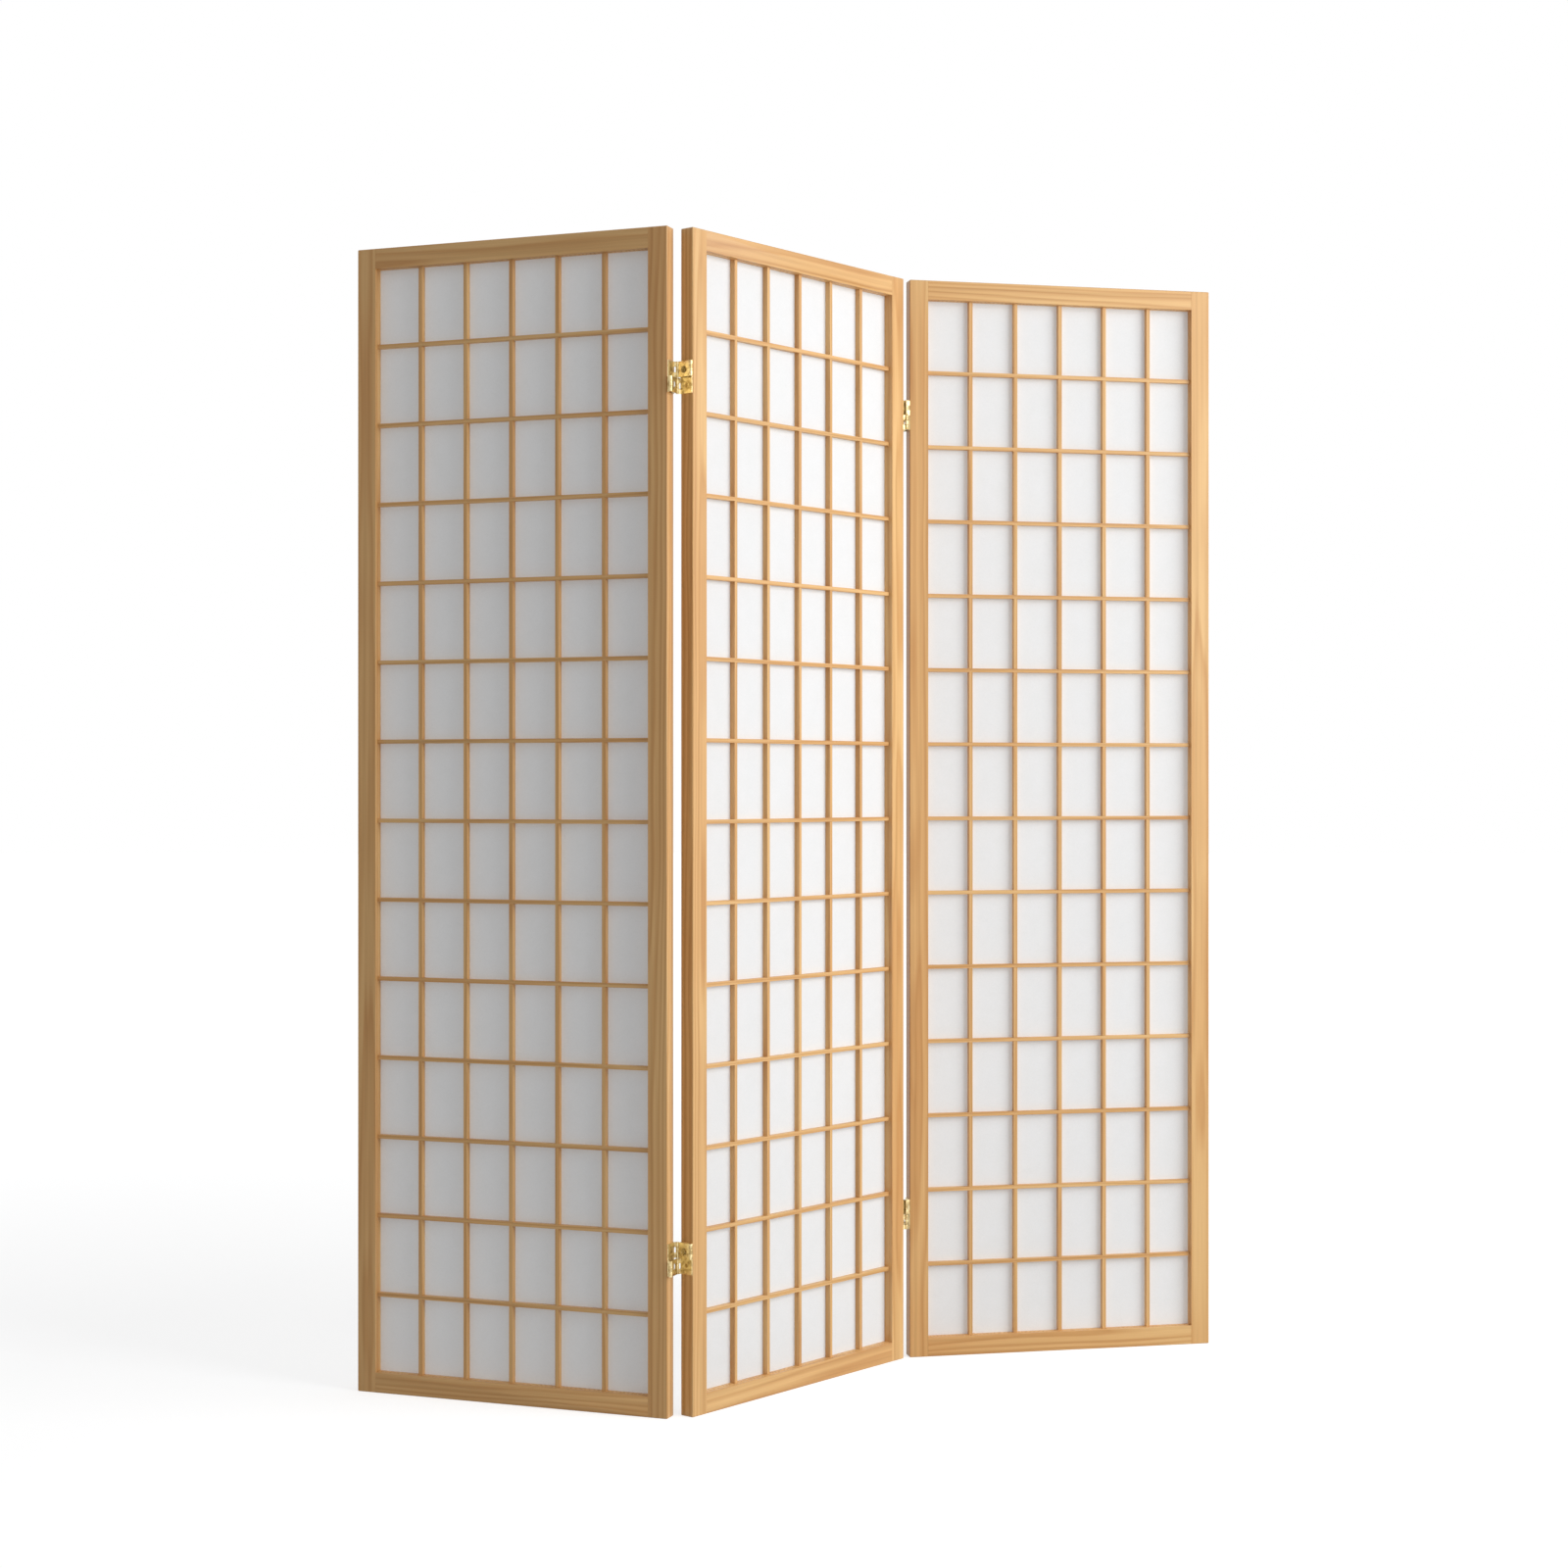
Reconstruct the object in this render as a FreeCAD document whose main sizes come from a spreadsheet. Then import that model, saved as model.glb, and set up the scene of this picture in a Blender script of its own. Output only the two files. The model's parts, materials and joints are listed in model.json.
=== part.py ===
"""Three-panel shoji folding screen, in millimetres.

Each panel is a mortised softwood frame with a half-lapped lattice let into its
rebate, and paper glued behind the lattice. Two double-acting hinges join each
pair of panels. Every hinge has a leaf on each panel edge and two links that
cross the gap. The front knuckles turn on an axis just proud of the front faces,
and the back knuckles on an axis just proud of the back faces.

Panel coordinates: X runs along the width from the left edge, Y runs back from
the front face, and Z runs up from the floor. Hinge coordinates are the same,
with X measured from the middle of the gap and Z from the middle of the hinge.
"""
import FreeCAD
import Part
import os

import Sketcher

PARTS_FOLDER = "parts"
SHEET_NAME = "Sizes"

# Driving dimensions: lengths in millimetres, angles in degrees.
SIZES = {
    # Panels, and how far the outer two are folded from flat
    "panel_width": 500.0,
    "panel_height": 1700.0,
    "frame_thickness": 23.0,
    "middle_yaw": 50.4,
    "left_fold": 70.7,
    "right_fold": 38.2,
    # Frame members
    "stile_width": 30.0,
    "rail_height": 30.0,
    "arris_chamfer": 1.0,
    "tenon_length": 20.0,
    "tenon_height": 16.0,
    "tenon_thickness": 8.0,
    "tenon_inset": 4.0,
    "tenon_clearance": 0.1,
    # Lattice and paper
    "column_count": 6,
    "row_count": 14,
    "bar_width": 6.0,
    "bar_depth": 9.0,
    "lap_clearance": 0.05,
    "lattice_setback": 6.0,
    "strip_width": 6.0,
    "strip_reveal": 0.5,
    "strip_clearance": 0.1,
    "paper_thickness": 0.3,
    "paper_margin": 0.5,
    # Hinges
    "hinge_height": 46.0,
    "top_hinge_inset": 214.0,
    "bottom_hinge_inset": 226.0,
    "edge_to_axis": 5.75,
    "face_to_axis": 1.2,
    "knuckle_radius": 2.5,
    "knuckle_gap": 0.2,
    "half_gap": 0.4,
    "leaf_thickness": 1.5,
    "leaf_inset": 0.8,
    "link_thickness": 1.5,
    "link_clearance": 0.4,
    "access_hole_radius": 5.0,
    "pin_radius": 1.2,
    "pin_clearance": 0.06,
    # Screws
    "screw_spacing": 21.0,
    "screw_head_radius": 3.0,
    "screw_head_depth": 1.4,
    "screw_shank_radius": 1.5,
    "screw_length": 16.0,
    "screw_clearance": 0.1,
    "recess_width": 0.8,
    "recess_length": 3.0,
    "recess_depth": 0.8,
}


def size(name):
    """Return the expression that reads one driving dimension."""
    return SHEET_NAME + "." + name


# Expressions worked out from the driving dimensions.
HALF_DEPTH = f"({size('bar_depth')} / 2)"
OPENING_WIDTH = f"({size('panel_width')} - 2 * {size('stile_width')})"
MID_THICKNESS = f"({size('frame_thickness')} / 2)"
STRIP_SEAT = (
    f"({size('strip_width')} - {size('strip_reveal')} + {size('strip_clearance')})"
)
REBATE_DEPTH = f"({size('frame_thickness')} - {size('lattice_setback')})"
REBATE_BOTTOM = f"({size('rail_height')} - {STRIP_SEAT})"
LATTICE_LEFT = f"({size('stile_width')} + {size('strip_reveal')})"
LATTICE_BOTTOM = f"({size('rail_height')} + {size('strip_reveal')})"
LATTICE_WIDTH = f"({size('panel_width')} - 2 * {LATTICE_LEFT})"
LATTICE_HEIGHT = f"({size('panel_height')} - 2 * {LATTICE_BOTTOM})"
LATTICE_BACK = f"({size('lattice_setback')} + {size('bar_depth')})"
LAP_WIDTH = f"({size('bar_width')} + 2 * {size('lap_clearance')})"
BARS_ACROSS = f"({size('column_count')} - 1)"
BARS_UP = f"({size('row_count')} - 1)"
CELL_WIDTH = (
    f"(({LATTICE_WIDTH} - {BARS_ACROSS} * {size('bar_width')})"
    f" / {size('column_count')})"
)
CELL_HEIGHT = (
    f"(({LATTICE_HEIGHT} - {BARS_UP} * {size('bar_width')})"
    f" / {size('row_count')})"
)
COLUMN_PITCH = f"({CELL_WIDTH} + {size('bar_width')})"
ROW_PITCH = f"({CELL_HEIGHT} + {size('bar_width')})"
FIRST_BAR_X = f"({LATTICE_LEFT} + {CELL_WIDTH})"
FIRST_BAR_Z = f"({LATTICE_BOTTOM} + {CELL_HEIGHT})"
HALF_HINGE = f"({size('hinge_height')} / 2)"
KNUCKLE_HEIGHT = (
    f"(({HALF_HINGE} - {size('half_gap')} - 2 * {size('knuckle_gap')}) / 3)"
)
KNUCKLE_STEP = f"({KNUCKLE_HEIGHT} + {size('knuckle_gap')})"
BACK_AXIS_Y = f"({size('frame_thickness')} + {size('face_to_axis')})"
FRONT_AXIS_Y = f"(0 - {size('face_to_axis')})"
LEAF_FACE_X = f"({size('edge_to_axis')} - {size('leaf_thickness')})"
LINK_END = f"({size('knuckle_radius')} + {size('link_clearance')})"
BORE_RADIUS = f"({size('pin_radius')} + {size('pin_clearance')})"
HOLE_RADIUS = f"({size('screw_shank_radius')} + {size('screw_clearance')})"
SINK_RADIUS = f"({size('screw_head_radius')} + {size('screw_clearance')})"
HALF_SPACING = f"({size('screw_spacing')} / 2)"

HALF_TURN = 180.0
SAME_LENGTH = 0.001
ACROSS = FreeCAD.Vector(1, 0, 0)
BACKWARD = FreeCAD.Vector(0, 1, 0)
UPWARD = FreeCAD.Vector(0, 0, 1)


def point(across=0.0, back=0.0, up=0.0):
    """Return a vector from its three parts."""
    return FreeCAD.Vector(across, back, up)


def shift(across=0.0, back=0.0, up=0.0):
    """Return a placement that only moves."""
    return FreeCAD.Placement(point(across, back, up), FreeCAD.Rotation())


def turn(axis, angle):
    """Return a placement that only turns about an axis through the origin."""
    return FreeCAD.Placement(point(), FreeCAD.Rotation(axis, angle))


def add_sheet(doc):
    """Write the driving dimensions into the sheet, one alias to a row."""
    sheet = doc.addObject("Spreadsheet::Sheet", SHEET_NAME)
    for row, (name, number) in enumerate(SIZES.items(), start=1):
        sheet.set(f"A{row}", name)
        sheet.set(f"B{row}", str(number))
        sheet.setAlias(f"B{row}", name)
    doc.recompute()
    return sheet


def add_body(doc, label):
    """Start a piece, which may hold several alike solids."""
    body = doc.addObject("PartDesign::Body", label)
    body.Label = label
    body.AllowCompound = True
    return body


def origin_part(body, role):
    """Return one plane or axis of a piece's own origin."""
    return next(item for item in body.Origin.OriginFeatures if item.Role == role)


def add_sketch(body, plane, offset, rotation=None):
    """Attach a sketch to an origin plane, moved by three expressions."""
    sketch = body.newObject("Sketcher::SketchObject", "Sketch")
    sketch.AttachmentSupport = [(origin_part(body, plane), "")]
    sketch.MapMode = "FlatFace"
    if rotation is not None:
        sketch.AttachmentOffset = rotation
    for axis, expression in zip("xyz", offset):
        sketch.setExpression("AttachmentOffset.Base." + axis, expression)
    return sketch


def fix_length(sketch, kind, parts, expression):
    """Add one dimension to a sketch and bind it to an expression."""
    length = float(sketch.evalExpression(expression))
    number = sketch.addConstraint(Sketcher.Constraint(kind, *parts, length))
    sketch.setExpression(f"Constraints[{number}]", expression)


def draw_outline(sketch, corners):
    """Draw a closed outline through corners given as pairs of expressions.

    The first corner is the sketch's origin. A pair holds None where its corner
    lies on the axis from which that number would be measured.
    """
    count = len(corners)
    ends = [
        point(*(float(sketch.evalExpression(part or "0")) for part in corner))
        for corner in corners
    ]
    for index, end in enumerate(ends):
        sketch.addGeometry(Part.LineSegment(end, ends[(index + 1) % count]))
    for index in range(count):
        following = (index + 1) % count
        sketch.addConstraint(Sketcher.Constraint("Coincident", index, 2, following, 1))
    sketch.addConstraint(Sketcher.Constraint("Coincident", 0, 1, -1, 1))
    for index, (across, along) in enumerate(corners[1:], start=1):
        for kind, part, axis in (("DistanceX", across, -2), ("DistanceY", along, -1)):
            if part is None:
                sketch.addConstraint(Sketcher.Constraint("PointOnObject", index, 1, axis))
            else:
                fix_length(sketch, kind, (-1, 1, index, 1), part)


def draw_rectangle(sketch, width, height):
    """Draw a rectangle with one corner on the sketch's origin."""
    draw_outline(sketch, [(None, None), (width, None), (width, height), (None, height)])


def draw_circle(sketch, radius, centre_y=None):
    """Draw a circle on the sketch's origin, or above it."""
    centre = point(0, float(sketch.evalExpression(centre_y or "0")))
    guess = float(sketch.evalExpression(radius))
    number = sketch.addGeometry(Part.Circle(centre, UPWARD, guess))
    fix_length(sketch, "Radius", (number,), radius)
    if centre_y is None:
        sketch.addConstraint(Sketcher.Constraint("Coincident", number, 3, -1, 1))
    else:
        sketch.addConstraint(Sketcher.Constraint("PointOnObject", number, 3, -2))
        fix_length(sketch, "DistanceY", (-1, 1, number, 3), centre_y)


def pad(body, sketch, length):
    """Raise a sketch along its normal."""
    feature = body.newObject("PartDesign::Pad", "Pad")
    feature.Profile = sketch
    feature.setExpression("Length", length)
    return feature


def pocket(body, sketch, length, both_ways=False):
    """Cut a sketch into the piece, along its normal or to both sides."""
    feature = body.newObject("PartDesign::Pocket", "Pocket")
    feature.Profile = sketch
    feature.Reversed = not both_ways
    feature.Midplane = both_ways
    feature.setExpression("Length", length)
    return feature


def add_block(body, corner, extent):
    """Add a rectangular block from its lowest corner and its three sizes."""
    sketch = add_sketch(body, "XY_Plane", corner)
    draw_rectangle(sketch, extent[0], extent[1])
    return pad(body, sketch, extent[2])


def cut_block(body, corner, extent):
    """Cut a rectangular block from its lowest corner and its three sizes."""
    sketch = add_sketch(body, "XY_Plane", corner)
    draw_rectangle(sketch, extent[0], extent[1])
    return pocket(body, sketch, extent[2])


def repeat(body, features, role, pitch, count):
    """Repeat features along one axis of the piece, at a steady pitch."""
    pattern = body.newObject("PartDesign::LinearPattern", "Pattern")
    pattern.Originals = features
    pattern.Direction = (origin_part(body, role), [""])
    pattern.setExpression("Length", f"({pitch}) * ({count} - 1)")
    pattern.setExpression("Occurrences", count)
    body.Tip = pattern
    return pattern


def ease_edges(doc, body, base, wanted):
    """Chamfer the straight edges of a feature that pass a test."""
    doc.recompute()
    names = [
        f"Edge{number}"
        for number, edge in enumerate(base.Shape.Edges, start=1)
        if wanted(edge.BoundBox)
    ]
    chamfer = body.newObject("PartDesign::Chamfer", "Chamfer")
    chamfer.Base = (base, names)
    chamfer.setExpression("Size", size("arris_chamfer"))
    return chamfer


def near(first, second):
    """Tell whether two lengths are the same."""
    return abs(first - second) < SAME_LENGTH


def add_stile(doc, label, hinge_heights):
    """Build a left stile, with pilot holes at the given hinge heights."""
    body = add_body(doc, label)
    thickness = SIZES["frame_thickness"]
    height = SIZES["panel_height"]
    timber = add_block(
        body,
        ("0", "0", "0"),
        (size("stile_width"), size("frame_thickness"), size("panel_height")),
    )

    def outer(box):
        on_edge = near(box.XMax, 0)
        on_face = near(box.YMax, 0) or near(box.YMin, thickness)
        on_end = near(box.ZMax, 0) or near(box.ZMin, height)
        return (on_edge and (on_face or on_end)) or (on_face and on_end)

    ease_edges(doc, body, timber, outer)
    cut_block(
        body,
        (f"{size('stile_width')} - {STRIP_SEAT}", size("lattice_setback"), REBATE_BOTTOM),
        (STRIP_SEAT, REBATE_DEPTH, f"{size('panel_height')} - 2 * {REBATE_BOTTOM}"),
    )
    clearance = size("tenon_clearance")
    mortise_height = f"({size('tenon_height')} + 2 * {clearance})"
    mortise = (
        f"{size('tenon_length')} + {clearance}",
        f"{size('tenon_thickness')} + 2 * {clearance}",
        mortise_height,
    )
    mortise_x = f"{size('stile_width')} - {size('tenon_length')} - {clearance}"
    mortise_y = f"{MID_THICKNESS} - {size('tenon_thickness')} / 2 - {clearance}"
    low = f"({size('tenon_inset')} - {clearance})"
    high = f"{size('panel_height')} - {low} - {mortise_height}"
    for bottom in (low, high):
        cut_block(body, (mortise_x, mortise_y, bottom), mortise)
    for hinge_height in hinge_heights:
        sketch = add_sketch(
            body, "YZ_Plane", (MID_THICKNESS, f"{hinge_height} - {HALF_SPACING}", "0")
        )
        draw_circle(sketch, HOLE_RADIUS)
        draw_circle(sketch, HOLE_RADIUS, size("screw_spacing"))
        pocket(body, sketch, f"{size('screw_length')} - {size('leaf_thickness')}")
    return body


def add_rail(doc, label):
    """Build a bottom rail with its rebate and a tenon at each end."""
    body = add_body(doc, label)
    thickness = SIZES["frame_thickness"]
    timber = add_block(
        body, ("0", "0", "0"), (OPENING_WIDTH, size("frame_thickness"), size("rail_height"))
    )

    def lower(box):
        on_face = near(box.YMax, 0) or near(box.YMin, thickness)
        return on_face and near(box.ZMax, 0)

    ease_edges(doc, body, timber, lower)
    cut_block(
        body,
        ("0", size("lattice_setback"), REBATE_BOTTOM),
        (OPENING_WIDTH, REBATE_DEPTH, STRIP_SEAT),
    )
    tenon_y = f"{MID_THICKNESS} - {size('tenon_thickness')} / 2"
    tenon = (size("tenon_length"), size("tenon_thickness"), size("tenon_height"))
    for start in (f"0 - {size('tenon_length')}", OPENING_WIDTH):
        add_block(body, (start, tenon_y, size("tenon_inset")), tenon)
    return body


def add_edge_strips(doc, label):
    """Build the four strips that frame the lattice in the rebate."""
    body = add_body(doc, label)
    strip = size("strip_width")
    outer_x = f"({LATTICE_LEFT} - {strip})"
    outer_z = f"({LATTICE_BOTTOM} - {strip})"
    setback = size("lattice_setback")
    depth = size("bar_depth")
    upright = (strip, depth, f"{size('panel_height')} - 2 * {outer_z}")
    for left in (outer_x, f"{size('panel_width')} - {LATTICE_LEFT}"):
        add_block(body, (left, setback, outer_z), upright)
    level_x = f"{LATTICE_LEFT} + {size('lap_clearance')}"
    level = (f"{LATTICE_WIDTH} - 2 * {size('lap_clearance')}", depth, strip)
    for bottom in (outer_z, f"{size('panel_height')} - {LATTICE_BOTTOM}"):
        add_block(body, (level_x, setback, bottom), level)
    return body


def add_vertical_bars(doc, label):
    """Build the upright lattice bars, half-lapped from the front."""
    body = add_body(doc, label)
    setback = size("lattice_setback")
    bar = add_block(
        body,
        (FIRST_BAR_X, setback, LATTICE_BOTTOM),
        (size("bar_width"), size("bar_depth"), LATTICE_HEIGHT),
    )
    repeat(body, [bar], "X_Axis", COLUMN_PITCH, BARS_ACROSS)
    lap = cut_block(
        body,
        (LATTICE_LEFT, setback, f"{FIRST_BAR_Z} - {size('lap_clearance')}"),
        (LATTICE_WIDTH, HALF_DEPTH, LAP_WIDTH),
    )
    repeat(body, [lap], "Z_Axis", ROW_PITCH, BARS_UP)
    return body


def add_horizontal_bars(doc, label):
    """Build the level lattice bars, half-lapped from the back."""
    body = add_body(doc, label)
    setback = size("lattice_setback")
    bar = add_block(
        body,
        (LATTICE_LEFT, setback, FIRST_BAR_Z),
        (LATTICE_WIDTH, size("bar_depth"), size("bar_width")),
    )
    repeat(body, [bar], "Z_Axis", ROW_PITCH, BARS_UP)
    lap = cut_block(
        body,
        (
            f"{FIRST_BAR_X} - {size('lap_clearance')}",
            f"{setback} + {HALF_DEPTH}",
            LATTICE_BOTTOM,
        ),
        (LAP_WIDTH, HALF_DEPTH, LATTICE_HEIGHT),
    )
    repeat(body, [lap], "X_Axis", COLUMN_PITCH, BARS_ACROSS)
    return body


def add_paper(doc, label):
    """Build the sheet of paper glued to the back of the lattice."""
    body = add_body(doc, label)
    inset = f"{size('paper_margin')} - {size('strip_width')}"
    left = f"({LATTICE_LEFT} + {inset})"
    bottom = f"({LATTICE_BOTTOM} + {inset})"
    add_block(
        body,
        (left, LATTICE_BACK, bottom),
        (
            f"{size('panel_width')} - 2 * {left}",
            size("paper_thickness"),
            f"{size('panel_height')} - 2 * {bottom}",
        ),
    )
    return body


def add_leaf(doc, label):
    """Build the leaf on the panel to the right of the gap.

    Its upper half curls to the front axis and its lower half to the back axis,
    in two knuckles each, with room between them for a link's knuckle.
    """
    body = add_body(doc, label)
    inset = size("leaf_inset")
    leaf = size("leaf_thickness")
    add_block(
        body,
        (LEAF_FACE_X, inset, f"0 - {HALF_HINGE}"),
        (leaf, f"{size('frame_thickness')} - 2 * {inset}", size("hinge_height")),
    )
    reach = size("edge_to_axis")
    rise = f"({size('face_to_axis')} + {inset})"
    strap = [(None, None), (reach, rise), (reach, f"{rise} + {leaf}"), (None, leaf)]
    for axis_y, flip, bottom in (
        (FRONT_AXIS_Y, None, size("half_gap")),
        (BACK_AXIS_Y, turn(ACROSS, HALF_TURN), f"0 - {size('half_gap')}"),
    ):
        profile = add_sketch(body, "XY_Plane", ("0", axis_y, bottom), flip)
        draw_outline(profile, strap)
        arm = pad(body, profile, KNUCKLE_HEIGHT)
        ring = add_sketch(body, "XY_Plane", ("0", axis_y, bottom), flip)
        draw_circle(ring, size("knuckle_radius"))
        knuckle = pad(body, ring, KNUCKLE_HEIGHT)
        pattern = repeat(body, [arm, knuckle], "Z_Axis", f"2 * {KNUCKLE_STEP}", "2")
        pattern.Reversed = flip is not None
        bore = add_sketch(body, "XY_Plane", ("0", axis_y, bottom), flip)
        draw_circle(bore, BORE_RADIUS)
        pocket(body, bore, f"{HALF_HINGE} - {size('half_gap')}")
    for height in (f"0 - {HALF_SPACING}", HALF_SPACING):
        sink = add_sketch(body, "XY_Plane", (LEAF_FACE_X, MID_THICKNESS, height))
        draw_outline(
            sink,
            [
                (None, None),
                (leaf, None),
                (leaf, HOLE_RADIUS),
                (size("screw_head_depth"), HOLE_RADIUS),
                (None, SINK_RADIUS),
            ],
        )
        groove = body.newObject("PartDesign::Groove", "Groove")
        groove.Profile = sink
        groove.ReferenceAxis = (sink, ["H_Axis"])
        groove.Angle = 2 * HALF_TURN
    return body


def add_link(doc, label):
    """Build the upper link, which crosses the gap from front to back axis."""
    body = add_body(doc, label)
    link = size("link_thickness")
    half_link = f"({link} / 2)"
    start = f"({FRONT_AXIS_Y} + {LINK_END})"
    add_block(
        body,
        (f"0 - {half_link}", start, size("half_gap")),
        (link, f"{BACK_AXIS_Y} - {LINK_END} - {start}", f"{HALF_HINGE} - {size('half_gap')}"),
    )
    middle = f"({size('half_gap')} + {KNUCKLE_STEP})"
    for axis_y, flip in ((FRONT_AXIS_Y, None), (BACK_AXIS_Y, turn(UPWARD, HALF_TURN))):
        side = f"0 - {half_link}" if flip is None else half_link
        tongue = add_sketch(body, "XY_Plane", (side, axis_y, middle), flip)
        draw_rectangle(tongue, link, f"{LINK_END} + {half_link}")
        pad(body, tongue, KNUCKLE_HEIGHT)
        ring = add_sketch(body, "XY_Plane", ("0", axis_y, middle), flip)
        draw_circle(ring, size("knuckle_radius"))
        pad(body, ring, KNUCKLE_HEIGHT)
        bore = add_sketch(body, "XY_Plane", ("0", axis_y, middle), flip)
        draw_circle(bore, BORE_RADIUS)
        pocket(body, bore, KNUCKLE_HEIGHT)
    access = add_sketch(body, "YZ_Plane", (MID_THICKNESS, HALF_SPACING, "0"))
    draw_circle(access, size("access_hole_radius"))
    pocket(body, access, f"2 * {link}", both_ways=True)
    return body


def add_pins(doc, label):
    """Build the front and back pins of a hinge's upper half."""
    body = add_body(doc, label)
    for axis_y in (FRONT_AXIS_Y, BACK_AXIS_Y):
        section = add_sketch(body, "XY_Plane", ("0", axis_y, size("half_gap")))
        draw_circle(section, size("pin_radius"))
        pad(body, section, f"{HALF_HINGE} - {size('half_gap')}")
    return body


def add_screws(doc, label):
    """Build the two countersunk screws that hold one leaf."""
    body = add_body(doc, label)
    shank = size("screw_shank_radius")
    low = f"0 - {HALF_SPACING}"
    profile = add_sketch(body, "XY_Plane", (LEAF_FACE_X, MID_THICKNESS, low))
    draw_outline(
        profile,
        [
            (None, None),
            (size("screw_length"), None),
            (size("screw_length"), shank),
            (size("screw_head_depth"), shank),
            (None, size("screw_head_radius")),
        ],
    )
    screw = body.newObject("PartDesign::Revolution", "Revolution")
    screw.Profile = profile
    screw.ReferenceAxis = (profile, ["H_Axis"])
    screw.Angle = 2 * HALF_TURN
    slots = []
    half_width = f"({size('recess_width')} / 2)"
    half_length = f"({size('recess_length')} / 2)"
    for across, up in ((half_length, half_width), (half_width, half_length)):
        slots.append(
            cut_block(
                body,
                (LEAF_FACE_X, f"{MID_THICKNESS} - {across}", f"{low} - {up}"),
                (size("recess_depth"), f"2 * {across}", f"2 * {up}"),
            )
        )
    repeat(body, [screw] + slots, "Z_Axis", size("screw_spacing"), "2")
    return body


def panel_frames():
    """Return where each panel stands, with the middle one's corner at the origin.

    The left panel turns on its fold's back axis and the right panel on its
    fold's front axis, so the three fold up like an accordion.
    """
    width = SIZES["panel_width"]
    edge = SIZES["edge_to_axis"]
    proud = SIZES["face_to_axis"]
    back = SIZES["frame_thickness"] + proud
    middle = turn(UPWARD, SIZES["middle_yaw"])
    left = (
        middle
        * shift(-edge, back)
        * turn(UPWARD, -SIZES["left_fold"])
        * shift(-width - edge, -back)
    )
    right = (
        middle
        * shift(width + edge, -proud)
        * turn(UPWARD, -SIZES["right_fold"])
        * shift(edge, proud)
    )
    return {"left": left, "middle": middle, "right": right}


def add_panel(doc, panel, frame, left_hinged, right_hinged):
    """Build one panel's pieces and stand them in the panel's place."""
    width = SIZES["panel_width"]
    height = SIZES["panel_height"]
    stile = SIZES["stile_width"]
    low = size("bottom_hinge_inset")
    high = f"({size('panel_height')} - {size('top_hinge_inset')})"
    turned_low = f"({size('panel_height')} - {low})"
    turned_high = size("top_hinge_inset")
    end_over_end = shift(width, 0, height) * turn(BACKWARD, HALF_TURN)
    left_heights = (low, high) if left_hinged else ()
    right_heights = (turned_low, turned_high) if right_hinged else ()
    left_stile = add_stile(doc, f"{panel}_panel_left_stile", left_heights)
    left_stile.Placement = frame
    right_stile = add_stile(doc, f"{panel}_panel_right_stile", right_heights)
    right_stile.Placement = frame * end_over_end
    pieces = {
        "bottom_rail": (add_rail, shift(stile)),
        "top_rail": (add_rail, end_over_end * shift(stile)),
        "edge_strips": (add_edge_strips, shift()),
        "vertical_bars": (add_vertical_bars, shift()),
        "horizontal_bars": (add_horizontal_bars, shift()),
        "paper": (add_paper, shift()),
    }
    for name, (build, place) in pieces.items():
        build(doc, f"{panel}_panel_{name}").Placement = frame * place


def add_hinge(doc, name, height, left_frame, right_frame, upper_side, lower_side):
    """Build one hinge between the panels to the left and right of a fold.

    The upper link rides with the middle panel and the lower link with the
    outer one. Each is placed from the panel named by its side.
    """
    thickness = SIZES["frame_thickness"]
    edge = SIZES["edge_to_axis"]
    seats = {
        "left": left_frame * shift(SIZES["panel_width"] + edge, 0, height),
        "right": right_frame * shift(-edge, 0, height),
    }
    about_face = shift(0, thickness, 0) * turn(UPWARD, HALF_TURN)
    upside_down = shift(0, thickness, 0) * turn(ACROSS, HALF_TURN)
    panels = {upper_side: "middle", lower_side: "outer"}
    for side, facing in (("left", about_face), ("right", shift())):
        place = seats[side] * facing
        add_leaf(doc, f"{name}_{panels[side]}_leaf").Placement = place
        add_screws(doc, f"{name}_{panels[side]}_screws").Placement = place
    halves = (("upper", upper_side, shift()), ("lower", lower_side, upside_down))
    for level, side, facing in halves:
        place = seats[side] * facing
        add_link(doc, f"{name}_{level}_link").Placement = place
        add_pins(doc, f"{name}_{level}_pins").Placement = place


def build_screen(doc):
    """Build every piece and centre the screen's footprint on the origin."""
    add_sheet(doc)
    frames = panel_frames()
    add_panel(doc, "left", frames["left"], False, True)
    add_panel(doc, "middle", frames["middle"], True, True)
    add_panel(doc, "right", frames["right"], True, False)
    levels = {
        "top": SIZES["panel_height"] - SIZES["top_hinge_inset"],
        "bottom": SIZES["bottom_hinge_inset"],
    }
    folds = {
        "left": (frames["left"], frames["middle"], "right", "left"),
        "right": (frames["middle"], frames["right"], "left", "right"),
    }
    for level, height in levels.items():
        for side, fold in folds.items():
            add_hinge(doc, f"{side}_{level}_hinge", height, *fold)
    doc.recompute()
    bodies = [item for item in doc.Objects if item.TypeId == "PartDesign::Body"]
    box = Part.makeCompound([body.Shape for body in bodies]).optimalBoundingBox()
    to_origin = shift(-box.Center.x, -box.Center.y, -box.ZMin)
    for body in bodies:
        body.Placement = to_origin * body.Placement
    doc.recompute()
    return bodies


def check(doc, bodies):
    """Stop if any object failed or any piece is not a sound solid."""
    failed = [
        f"{item.Label}: {item.State}"
        for item in doc.Objects
        if "Invalid" in item.State or "Error" in item.State
    ]
    for body in bodies:
        shape = body.Shape
        if shape.isNull() or not shape.isValid() or not shape.Solids:
            failed.append(f"{body.Label}: no sound solid")
    if failed:
        raise RuntimeError("\n".join(failed))


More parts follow.
